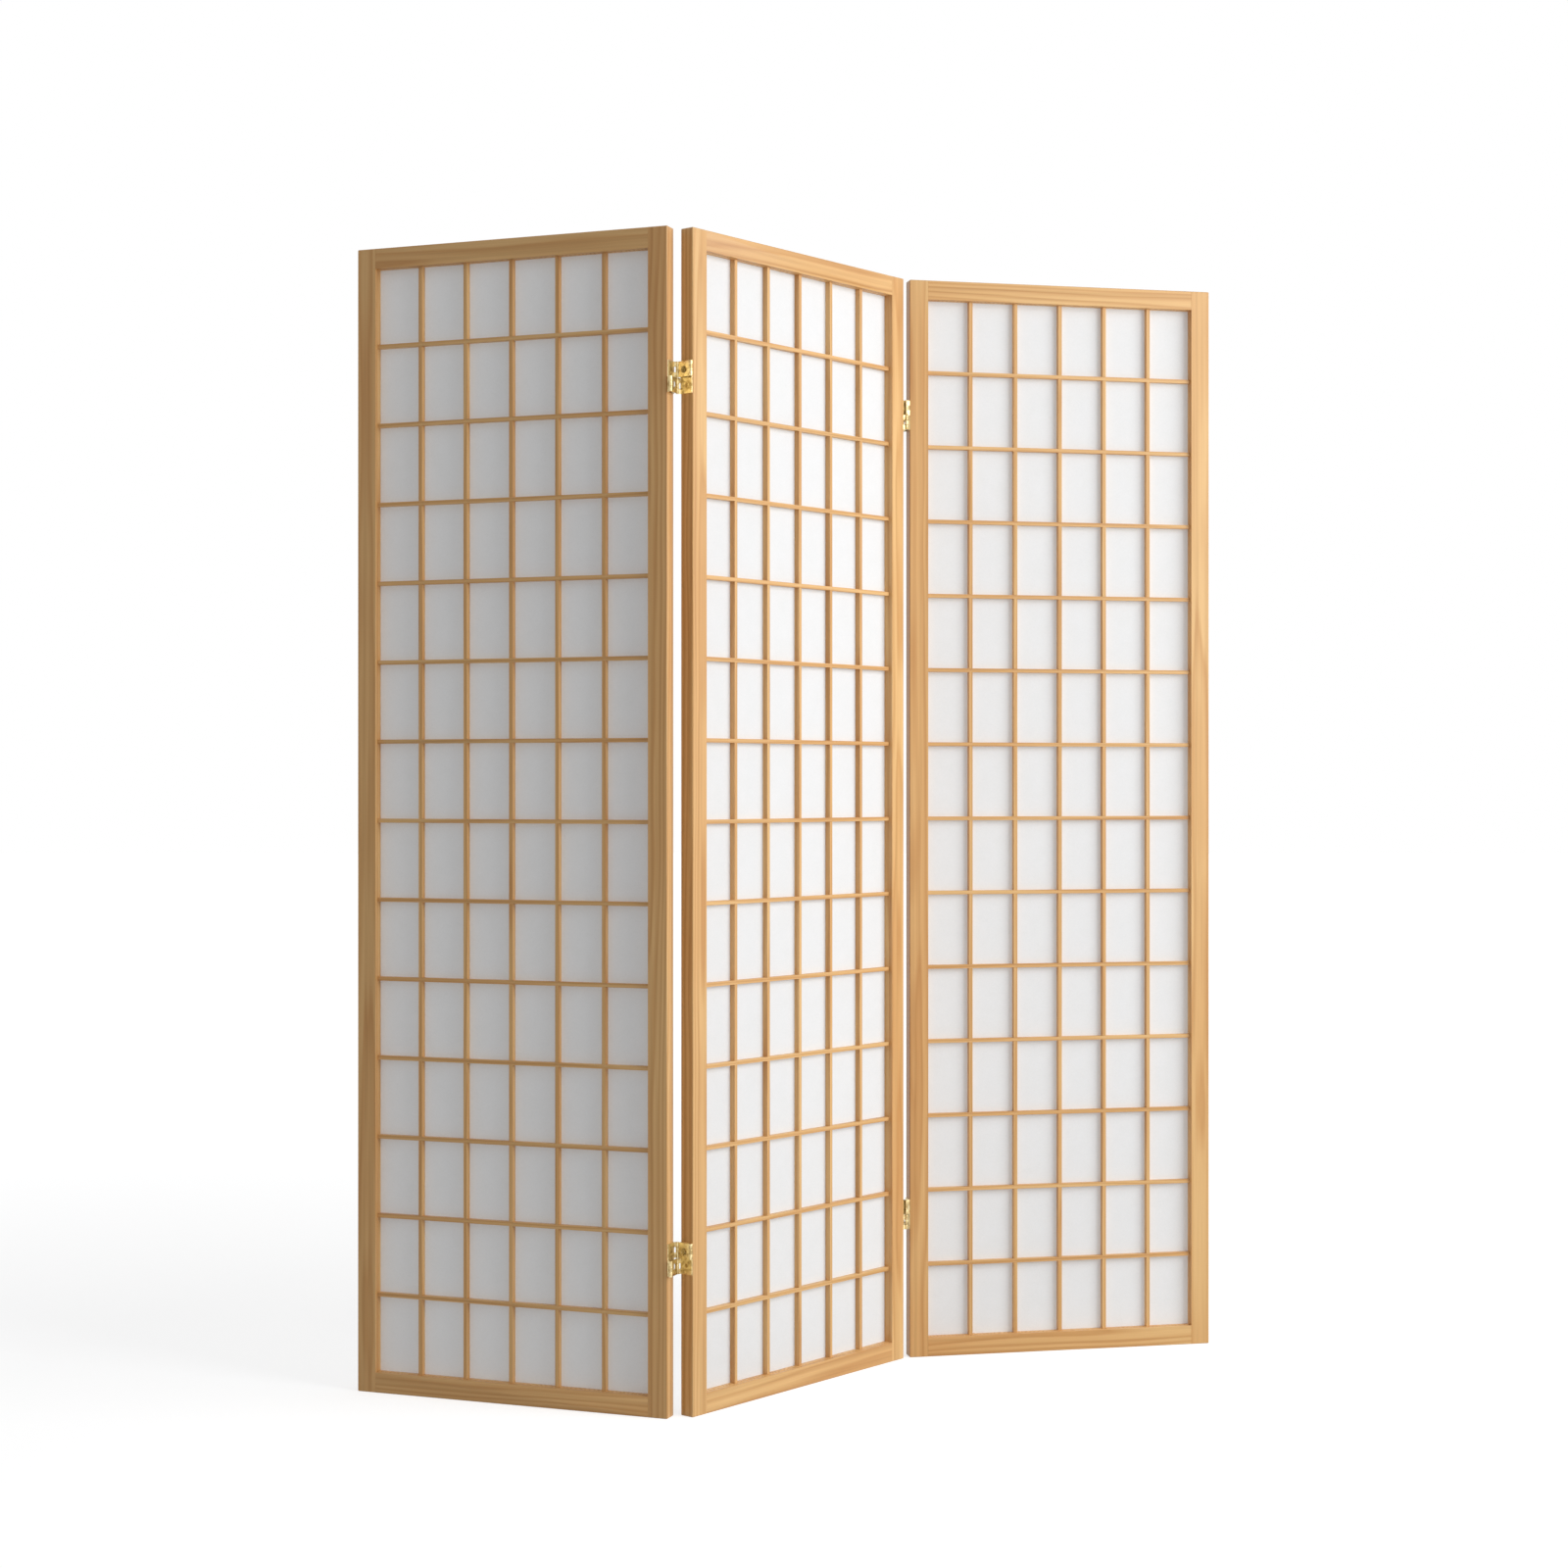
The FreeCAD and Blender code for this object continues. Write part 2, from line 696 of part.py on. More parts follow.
def main():
    """Build the screen and write one file for each piece."""
    doc = FreeCAD.newDocument("ShojiScreen")
    bodies = build_screen(doc)
    check(doc, bodies)
    os.makedirs(PARTS_FOLDER, exist_ok=True)
    for body in bodies:
        body.Shape.exportStep(os.path.join(PARTS_FOLDER, body.Label + ".step"))
    solid_count = sum(len(body.Shape.Solids) for body in bodies)
    print(f"{len(bodies)} pieces, {solid_count} solids")


main()
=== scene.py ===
"""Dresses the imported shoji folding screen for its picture.

The frame members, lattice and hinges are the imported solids, so this file gives
them their finishes: planed softwood with the grain along each piece, and bright
brass. Modifiers ease their edges. The paper is a thin sheet of its own, stretched
behind the lattice and glued to it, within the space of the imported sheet. The
floor, the lamp and the camera follow.
"""
import json
import logging
import math
from dataclasses import dataclass, field
from enum import Enum

import bpy
from mathutils import Matrix, Vector, noise


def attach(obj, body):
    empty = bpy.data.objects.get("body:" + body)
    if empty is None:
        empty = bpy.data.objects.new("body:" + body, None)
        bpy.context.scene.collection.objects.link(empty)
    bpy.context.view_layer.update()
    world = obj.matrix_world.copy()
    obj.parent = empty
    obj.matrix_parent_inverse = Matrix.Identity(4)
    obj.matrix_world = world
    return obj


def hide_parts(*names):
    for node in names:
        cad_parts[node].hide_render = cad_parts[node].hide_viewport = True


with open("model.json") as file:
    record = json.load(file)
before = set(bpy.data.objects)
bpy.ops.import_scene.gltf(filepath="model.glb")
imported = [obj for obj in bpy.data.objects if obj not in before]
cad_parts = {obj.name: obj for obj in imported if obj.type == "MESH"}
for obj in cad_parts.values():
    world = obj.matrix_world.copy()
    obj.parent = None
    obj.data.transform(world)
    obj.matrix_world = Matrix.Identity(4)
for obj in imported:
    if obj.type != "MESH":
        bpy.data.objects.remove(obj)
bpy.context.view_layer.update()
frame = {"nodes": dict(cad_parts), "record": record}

log = logging.getLogger("shoji_screen")

MILLIMETRE = 0.001
# How far the middle panel is turned about the upright, in degrees
MIDDLE_YAW = 50.4
# How many different cuts of wood one panel uses
CUTS_IN_PANEL = 7.0
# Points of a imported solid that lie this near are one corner, in metres
WELD_REACH = 0.001 * MILLIMETRE
# The bend from which an edge is rounded, in degrees
EASED_FROM = 30.0

# Three values: red, green and blue
Colour = tuple[float, float, float]
# Places along a ramp, from 0 to 1, with their linear colours
Stops = tuple[tuple[float, Colour], ...]


class Panel(Enum):
    """The three panels, by where they stand."""

    LEFT = "left"
    MIDDLE = "middle"
    RIGHT = "right"

    @property
    def body(self) -> str:
        """Return the name of the CAD body that the panel belongs to."""
        return f"{self.value}_panel"


class Grain(Enum):
    """Which way the wood's grain runs in a piece."""

    UPRIGHT = "upright"
    LEVEL = "level"


@dataclass(frozen=True)
class Speckle:
    """Noise that is alike in every direction.

    Attributes:
        scale: How often it changes, per metre.
        detail: Its octaves.
        pull: How far it is drawn into threads.
    """

    scale: float
    detail: float
    pull: float = 0.0


@dataclass(frozen=True)
class Figure:
    """Noise that is drawn out along the wood's grain.

    Attributes:
        across: How often it changes across the grain, per metre.
        along: How often it changes along the grain, per metre.
        detail: Its octaves.
    """

    across: float
    along: float
    detail: float


class NodeTree:
    """A thin helper that adds and joins the shader nodes of a material or world."""

    def __init__(self, owner: bpy.types.ID, output: str = "ShaderNodeOutputMaterial") -> None:
        """Start with only the output node.

        Args:
            owner: The material or the world.
            output: Blender's name for its output node.
        """
        owner.use_nodes = True
        self.owner = owner
        self.tree = owner.node_tree
        self.tree.nodes.clear()
        self.output = self.add(output)

    def add(self, kind: str, **settings: object) -> bpy.types.Node:
        """Add one node and set its own options.

        Args:
            kind: Blender's name for the node type.
            **settings: Options of the node, such as its operation.

        Returns:
            The new node.
        """
        node = self.tree.nodes.new(kind)
        for name, value in settings.items():
            setattr(node, name, value)
        return node

    def join(self, source: bpy.types.NodeSocket, target: bpy.types.NodeSocket) -> None:
        """Join an output to an input.

        Args:
            source: The output socket.
            target: The input socket.
        """
        self.tree.links.new(source, target)

    def finish(self, surface: bpy.types.NodeSocket) -> bpy.types.ID:
        """Join the last shader to the output.

        Args:
            surface: The shader's socket.

        Returns:
            The material or the world.
        """
        self.join(surface, self.output.inputs["Surface"])
        return self.owner

    def place(self) -> bpy.types.NodeSocket:
        """Return the socket that holds the place on the object, in metres."""
        return self.add("ShaderNodeTexCoord").outputs["Object"]

    def math(self, operation: str, *values: object) -> bpy.types.NodeSocket:
        """Work out one sum from sockets or plain numbers.

        Args:
            operation: The Math node's operation.
            *values: Sockets or numbers, in order.

        Returns:
            The socket that holds the result.
        """
        node = self.add("ShaderNodeMath", operation=operation)
        for slot, value in zip(node.inputs, values):
            if isinstance(value, bpy.types.NodeSocket):
                self.join(value, slot)
            else:
                slot.default_value = value
        return node.outputs[0]

    def noise(self, place: bpy.types.NodeSocket, speckle: Speckle) -> bpy.types.NodeSocket:
        """Make noise.

        Args:
            place: The place that it is looked up at.
            speckle: How fine the noise is.

        Returns:
            A socket from 0 to 1.
        """
        texture = self.add("ShaderNodeTexNoise")
        texture.inputs["Scale"].default_value = speckle.scale
        texture.inputs["Detail"].default_value = speckle.detail
        texture.inputs["Distortion"].default_value = speckle.pull
        self.join(place, texture.inputs["Vector"])
        return texture.outputs["Fac"]

    def bump(
        self, height: bpy.types.NodeSocket, strength: float, depth: float
    ) -> bpy.types.NodeSocket:
        """Shade a surface as if it were raised and sunk a little.

        Args:
            height: How high each place stands, from 0 to 1.
            strength: How much of the effect shows.
            depth: How far the highest place stands up, in metres.

        Returns:
            The socket that holds the direction of the surface.
        """
        node = self.add("ShaderNodeBump")
        node.inputs["Strength"].default_value = strength
        node.inputs["Distance"].default_value = depth
        self.join(height, node.inputs["Height"])
        return node.outputs[0]

    def ramp(self, source: bpy.types.NodeSocket, stops: Stops) -> bpy.types.NodeSocket:
        """Turn a number into a colour.

        Args:
            source: The number, from 0 to 1.
            stops: Places along the ramp and their linear colours.

        Returns:
            The socket that holds the colour.
        """
        node = self.add("ShaderNodeValToRGB")
        elements = node.color_ramp.elements
        while len(elements) < len(stops):
            elements.new(1.0)
        for element, (place, colour) in zip(elements, stops):
            element.position = place
            element.color = (*colour, 1.0)
        self.join(source, node.inputs["Fac"])
        return node.outputs["Color"]

    def multiply(
        self, amount: float, first: bpy.types.NodeSocket, second: bpy.types.NodeSocket
    ) -> bpy.types.NodeSocket:
        """Tint one colour with another.

        Args:
            amount: How much of the tint, from 0 to 1.
            first: The colour below.
            second: The tint.

        Returns:
            The socket that holds the tinted colour.
        """
        node = self.add("ShaderNodeMix", data_type="RGBA", blend_type="MULTIPLY")
        node.inputs["Factor"].default_value = amount
        self.join(first, node.inputs["A"])
        self.join(second, node.inputs["B"])
        return node.outputs["Result"]

    def showing_rays(self) -> bpy.types.NodeSocket:
        """Tell the rays that show a place from those that only carry light.

        Returns:
            A socket that is 1 for what the camera, gloss and passing light show.
        """
        rays = self.add("ShaderNodeLightPath")
        seen = self.math("MAXIMUM", rays.outputs["Is Camera Ray"], rays.outputs["Is Glossy Ray"])
        return self.math("MAXIMUM", seen, rays.outputs["Is Transmission Ray"])


def linear(red: float, green: float, blue: float) -> Colour:
    """Turn a colour from the usual 0 to 255 screen values into linear light.

    Args:
        red: The red value.
        green: The green value.
        blue: The blue value.

    Returns:
        The three linear values.
    """

    def channel(value: float) -> float:
        """Turn one value by the standard screen curve."""
        share = value / 255
        if share <= 0.04045:
            return share / 12.92
        return ((share + 0.055) / 1.055) ** 2.4

    return channel(red), channel(green), channel(blue)


@dataclass(frozen=True)
class PlanedPine:
    """Clear-lacquered softwood, with the growth rings of one sawn piece.

    Attributes:
        name: The material's name.
        yaw: How far the panel is turned about the upright, in radians.
        centre: The piece's middle, in the panel's own directions, in metres.
        grain: Which way the grain runs.
        cut: A number that sets this piece's cut of the log apart.
        pale: The early wood's colour, in screen values.
        warm: The late wood's colour, in screen values.
        ring_pitch: The distance between growth rings, in metres.
        late_from: The share of a ring where the wood starts to turn warm.
        late_peak: The share of a ring where it is warmest.
        heart_depth: How far the log's heart lies from the piece's middle, in metres.
        heart_swing: How far the heart moves from cut to cut, across and back, in metres.
        lean: The most that rings lean, in metres for each metre of the piece.
        paces: How fast the heart's two places and the lean change with the cut.
        shifts: How far one cut's noise lies from the next one's.
        sway: The slow bending of the rings.
        sway_reach: How far it bends them, in metres.
        crowd: The crowding and parting of the rings.
        crowd_reach: How far it moves them, in metres.
        fibres: The finest lines of the wood.
        fibre_tints: What they do to the colour.
        fibre_amount: How much of that shows.
        streaks: The longer, darker lines.
        streak_tints: What they do to the colour.
        streak_amount: How much of that shows.
        clouds: The broad paler and warmer areas.
        cloud_tints: What they do to the colour.
        roughness: The lacquer's middle roughness.
        roughness_swing: How far the fibres change the roughness.
        gloss: The wood's specular level.
        lacquer: The weight of the clear coat.
        lacquer_roughness: How dull the clear coat is.
        relief: How much of the bump shows.
        relief_depth: The bump's depth, in metres.
        ring_relief: How much the rings add to the bump of the fibres.
    """

    name: str
    yaw: float
    centre: tuple[float, float, float]
    grain: Grain
    cut: float
    pale: Colour = (230, 185, 124)
    warm: Colour = (212, 160, 98)
    ring_pitch: float = 0.0062
    late_from: float = 0.30
    late_peak: float = 0.78
    heart_depth: float = 0.040
    heart_swing: tuple[float, float] = (0.020, 0.016)
    lean: float = 0.007
    paces: tuple[float, float, float] = (2.3, 5.1, 3.7)
    shifts: tuple[float, float, float] = (3.1, 7.7, 1.0)
    sway: Figure = Figure(across=14.0, along=1.7, detail=2.0)
    sway_reach: float = 0.022
    crowd: Figure = Figure(across=60.0, along=0.8, detail=1.0)
    crowd_reach: float = 0.008
    fibres: Figure = Figure(across=1300.0, along=10.0, detail=2.0)
    fibre_tints: Stops = ((0.36, (0.94, 0.92, 0.89)), (0.64, (1.03, 1.03, 1.03)))
    fibre_amount: float = 0.7
    streaks: Figure = Figure(across=150.0, along=1.6, detail=3.0)
    streak_tints: Stops = ((0.32, (0.82, 0.76, 0.68)), (0.56, (1.0, 1.0, 1.0)))
    streak_amount: float = 0.7
    clouds: Figure = Figure(across=11.0, along=2.2, detail=2.0)
    cloud_tints: Stops = ((0.34, (0.93, 0.86, 0.78)), (0.66, (1.03, 1.06, 1.08)))
    roughness: float = 0.44
    roughness_swing: float = 0.16
    gloss: float = 0.42
    lacquer: float = 0.15
    lacquer_roughness: float = 0.30
    relief: float = 0.16
    relief_depth: float = 0.12 * MILLIMETRE
    ring_relief: float = 0.35

    def build(self) -> bpy.types.Material:
        """Make the material.

        Returns:
            The new material.
        """
        nodes = NodeTree(bpy.data.materials.new(self.name))
        point = self._board_point(nodes)
        rings = self._rings(nodes, point)
        fibres = self._drawn_out(nodes, point, self.fibres)
        streaks = self._drawn_out(nodes, point, self.streaks)
        clouds = self._drawn_out(nodes, point, self.clouds)

        pale, warm = linear(*self.pale), linear(*self.warm)
        ring_tints = ((0.0, pale), (self.late_from, pale), (self.late_peak, warm), (1.0, pale))
        colour = nodes.ramp(rings, ring_tints)
        colour = nodes.multiply(
            self.streak_amount, colour, nodes.ramp(streaks, self.streak_tints)
        )
        colour = nodes.multiply(1.0, colour, nodes.ramp(clouds, self.cloud_tints))
        colour = nodes.multiply(self.fibre_amount, colour, nodes.ramp(fibres, self.fibre_tints))

        shader = nodes.add("ShaderNodeBsdfPrincipled")
        nodes.join(colour, shader.inputs["Base Color"])
        smoothest = self.roughness - self.roughness_swing / 2
        rough = nodes.math("MULTIPLY_ADD", fibres, self.roughness_swing, smoothest)
        nodes.join(rough, shader.inputs["Roughness"])
        shader.inputs["Specular IOR Level"].default_value = self.gloss
        shader.inputs["Coat Weight"].default_value = self.lacquer
        shader.inputs["Coat Roughness"].default_value = self.lacquer_roughness
        height = nodes.math("MULTIPLY_ADD", rings, self.ring_relief, fibres)
        bump = nodes.bump(height, self.relief, self.relief_depth)
        nodes.join(bump, shader.inputs["Normal"])
        return nodes.finish(shader.outputs[0])

    def _board_point(self, nodes: NodeTree) -> bpy.types.NodeSocket:
        """Measure each place from the piece's middle, with the third part along the grain.

        Args:
            nodes: The material being made.

        Returns:
            The socket that holds the place.
        """
        turned = nodes.add("ShaderNodeVectorRotate", rotation_type="Z_AXIS")
        turned.inputs["Angle"].default_value = -self.yaw
        nodes.join(nodes.place(), turned.inputs["Vector"])
        moved = nodes.add("ShaderNodeVectorMath", operation="SUBTRACT")
        nodes.join(turned.outputs[0], moved.inputs[0])
        moved.inputs[1].default_value = self.centre
        if self.grain is Grain.UPRIGHT:
            return moved.outputs[0]
        split = nodes.add("ShaderNodeSeparateXYZ")
        nodes.join(moved.outputs[0], split.inputs[0])
        swapped = nodes.add("ShaderNodeCombineXYZ")
        for source, target in ((2, 0), (1, 1), (0, 2)):
            nodes.join(split.outputs[source], swapped.inputs[target])
        return swapped.outputs[0]

    def _rings(self, nodes: NodeTree, point: bpy.types.NodeSocket) -> bpy.types.NodeSocket:
        """Cut through growth rings whose heart lies outside the piece.

        Args:
            nodes: The material being made.
            point: The place in the board, with its third part along the grain.

        Returns:
            A socket that climbs from 0 to 1 across each ring.
        """
        sway = self._drawn_out(nodes, point, self.sway)
        crowd = self._drawn_out(nodes, point, self.crowd)
        split = nodes.add("ShaderNodeSeparateXYZ")
        nodes.join(point, split.inputs[0])
        across_pace, back_pace, lean_pace = self.paces
        across_swing, back_swing = self.heart_swing
        heart_across = across_swing * math.sin(across_pace * self.cut)
        heart_back = self.heart_depth + back_swing * math.sin(back_pace * self.cut)
        lean = self.lean * math.cos(lean_pace * self.cut)
        across = nodes.math("ADD", split.outputs[0], heart_across)
        back = nodes.math("ADD", split.outputs[1], heart_back)
        squares = nodes.math(
            "ADD",
            nodes.math("MULTIPLY", across, across),
            nodes.math("MULTIPLY", back, back),
        )
        radius = nodes.math("SQRT", squares)
        swayed = nodes.math("MULTIPLY_ADD", sway, self.sway_reach, radius)
        crowded = nodes.math("MULTIPLY_ADD", crowd, self.crowd_reach, swayed)
        leaned = nodes.math("MULTIPLY_ADD", split.outputs[2], lean, crowded)
        return nodes.math("FRACT", nodes.math("DIVIDE", leaned, self.ring_pitch))

    def _drawn_out(
        self, nodes: NodeTree, point: bpy.types.NodeSocket, figure: Figure
    ) -> bpy.types.NodeSocket:
        """Make noise that is drawn out along the grain.

        Args:
            nodes: The material being made.
            point: The place in the board.
            figure: How the noise is drawn out.

        Returns:
            A socket from 0 to 1.
        """
        mapping = nodes.add("ShaderNodeVectorMath", operation="MULTIPLY_ADD")
        mapping.inputs[1].default_value = (figure.across, figure.across, figure.along)
        mapping.inputs[2].default_value = tuple(shift * self.cut for shift in self.shifts)
        nodes.join(point, mapping.inputs[0])
        return nodes.noise(mapping.outputs[0], Speckle(scale=1.0, detail=figure.detail))


@dataclass(frozen=True)
class ShojiPaper:
    """White paper with long fibres in it, which lets light through.

    Attributes:
        name: The material's name.
        white: The sheet's colour, in screen values.
        passing: The share of light that goes on through the sheet.
        fibres: The threads in the sheet.
        fibre_shade: How bright the sheet is between them, as a share of white.
        fibre_from: The noise value where the sheet starts to brighten.
        fibre_to: The noise value where it is white.
        clouds: The thicker and thinner areas.
        cloud_tints: What they do to the colour.
        roughness: How dull the sheet is.
        gloss: The sheet's specular level.
        relief: How much of the bump shows.
        relief_depth: The bump's depth, in metres.
    """

    name: str = "Shoji paper"
    white: Colour = (248, 249, 250)
    passing: float = 0.28
    fibres: Speckle = Speckle(scale=420.0, detail=4.0, pull=1.4)
    fibre_shade: float = 0.97
    fibre_from: float = 0.36
    fibre_to: float = 0.60
    clouds: Speckle = Speckle(scale=34.0, detail=3.0, pull=0.4)
    cloud_tints: Stops = ((0.3, (0.985, 0.985, 0.98)), (0.7, (1.0, 1.0, 1.0)))
    roughness: float = 0.72
    gloss: float = 0.22
    relief: float = 0.12
    relief_depth: float = 0.08 * MILLIMETRE

    def build(self) -> bpy.types.Material:
        """Make the material.

        Returns:
            The new material.
        """
        nodes = NodeTree(bpy.data.materials.new(self.name))
        place = nodes.place()
        fibres = nodes.noise(place, self.fibres)
        clouds = nodes.noise(place, self.clouds)
        white = linear(*self.white)
        dim = tuple(self.fibre_shade * part for part in white)
        sheet = nodes.ramp(fibres, ((self.fibre_from, dim), (self.fibre_to, white)))
        colour = nodes.multiply(1.0, sheet, nodes.ramp(clouds, self.cloud_tints))

        facing = nodes.add("ShaderNodeBsdfPrincipled")
        facing.inputs["Roughness"].default_value = self.roughness
        facing.inputs["Specular IOR Level"].default_value = self.gloss
        nodes.join(colour, facing.inputs["Base Color"])
        bump = nodes.bump(fibres, self.relief, self.relief_depth)
        nodes.join(bump, facing.inputs["Normal"])

        through = nodes.add("ShaderNodeBsdfTranslucent")
        nodes.join(colour, through.inputs["Color"])
        mix = nodes.add("ShaderNodeMixShader")
        mix.inputs["Fac"].default_value = self.passing
        nodes.join(facing.outputs[0], mix.inputs[1])
        nodes.join(through.outputs[0], mix.inputs[2])
        return nodes.finish(mix.outputs[0])


@dataclass(frozen=True)
class BrightBrass:
    """Brass-plated steel with faint handling marks.

    Attributes:
        name: The material's name.
        bright: The plating's colour, in screen values.
        tarnish: The colour of the dulled patches, in screen values.
        patches: The dulled patches.
        tarnish_to: The noise value up to which the plating is dulled.
        bright_from: The noise value from which it is bright.
        marks: The handling marks.
        roughness: How dull the plating is.
        roughness_swing: How far the patches change the roughness.
        tarnish_roughness: How much duller the most tarnished place is.
        relief: How much of the bump shows.
        relief_depth: The bump's depth, in metres.
    """

    name: str
    bright: Colour = (232, 212, 161)
    tarnish: Colour = (178, 152, 102)
    patches: Speckle = Speckle(scale=160.0, detail=5.0)
    tarnish_to: float = 0.34
    bright_from: float = 0.58
    marks: Speckle = Speckle(scale=1500.0, detail=2.0)
    roughness: float = 0.31
    roughness_swing: float = 0.16
    tarnish_roughness: float = 0.10
    relief: float = 0.10
    relief_depth: float = 0.05 * MILLIMETRE

    def build(self) -> bpy.types.Material:
        """Make the material.

        Returns:
            The new material.
        """
        nodes = NodeTree(bpy.data.materials.new(self.name))
        place = nodes.place()
        patches = nodes.noise(place, self.patches)
        marks = nodes.noise(place, self.marks)
        tarnish, bright = linear(*self.tarnish), linear(*self.bright)
        colour = nodes.ramp(patches, ((self.tarnish_to, tarnish), (self.bright_from, bright)))
        shader = nodes.add("ShaderNodeBsdfPrincipled")
        shader.inputs["Metallic"].default_value = 1.0
        nodes.join(colour, shader.inputs["Base Color"])
        dullest = self.roughness + self.tarnish_roughness
        rough = nodes.math("MULTIPLY_ADD", patches, -self.roughness_swing, dullest)
        nodes.join(rough, shader.inputs["Roughness"])
        bump = nodes.bump(marks, self.relief, self.relief_depth)
        nodes.join(bump, shader.inputs["Normal"])
        return nodes.finish(shader.outputs[0])


@dataclass(frozen=True)
class StudioFloor:
    """Pale floor that looks white in the picture and keeps the screen's shadow.

    Attributes:
        name: The material's name.
        pale: The floor's colour in linear light, as the lamp sees it.
        near: How much white is added for the camera beside the screen.
        far: How much white is added where the lamp no longer reaches.
        near_reach: How far from the middle the first amount holds, in metres.
        far_reach: From where the second amount holds, in metres.
    """

    name: str = "Studio floor"
    pale: float = 0.52
    near: float = 0.70
    far: float = 0.88
    near_reach: float = 1.2
    far_reach: float = 5.0

    def build(self) -> bpy.types.Material:
        """Make the material.

        Returns:
            The new material.
        """
        nodes = NodeTree(bpy.data.materials.new(self.name))
        diffuse = nodes.add("ShaderNodeBsdfDiffuse")
        diffuse.inputs["Color"].default_value = (self.pale, self.pale, self.pale, 1)
        distance = nodes.add("ShaderNodeVectorMath", operation="LENGTH")
        nodes.join(nodes.place(), distance.inputs[0])
        amount = nodes.add("ShaderNodeMapRange")
        amount.inputs["From Min"].default_value = self.near_reach
        amount.inputs["From Max"].default_value = self.far_reach
        amount.inputs["To Min"].default_value = self.near
        amount.inputs["To Max"].default_value = self.far
        nodes.join(distance.outputs["Value"], amount.inputs["Value"])
        shown = nodes.math("MULTIPLY", nodes.showing_rays(), amount.outputs["Result"])
        glow = nodes.add("ShaderNodeEmission")
        nodes.join(shown, glow.inputs["Strength"])
        both = nodes.add("ShaderNodeAddShader")
        nodes.join(diffuse.outputs[0], both.inputs[0])
        nodes.join(glow.outputs[0], both.inputs[1])
        return nodes.finish(both.outputs[0])


def turned_box(node: str, yaw: float) -> tuple[Vector, Vector]:
    """Measure a CAD node along its panel's own directions.

    Args:
        node: The node's name.
        yaw: How far the panel is turned about the upright, in radians.

    Returns:
        The lowest and the highest corner, across, back and up, in metres.
    """
    turn = Matrix.Rotation(-yaw, 3, "Z")
    places = [turn @ vertex.co for vertex in frame["nodes"][node].data.vertices]
    low = Vector(min(place[axis] for place in places) for axis in range(3))
    high = Vector(max(place[axis] for place in places) for axis in range(3))
    return low, high


def finish_node(node: str, material: bpy.types.Material) -> bpy.types.Object:
    """Give a CAD node its finish.

    Args:
        node: The node's name.
        material: The finish.

    Returns:
        The node's object.
    """
    piece = frame["nodes"][node]
    piece.data.materials.clear()
    piece.data.materials.append(material)
    return piece


def ease(piece: bpy.types.Object, width: float, steps: int = 2) -> None:
    """Round a piece's sharp edges a little.

    Args:
        piece: The piece.
        width: How much of each face the rounding takes, in metres.
        steps: The number of segments round each edge.
    """
    weld = piece.modifiers.new("Joined faces", "WELD")
    weld.merge_threshold = WELD_REACH
    bevel = piece.modifiers.new("Eased edges", "BEVEL")
    bevel.width = width
    bevel.segments = steps
    bevel.limit_method = "ANGLE"
    bevel.angle_limit = math.radians(EASED_FROM)
    bevel.harden_normals = False


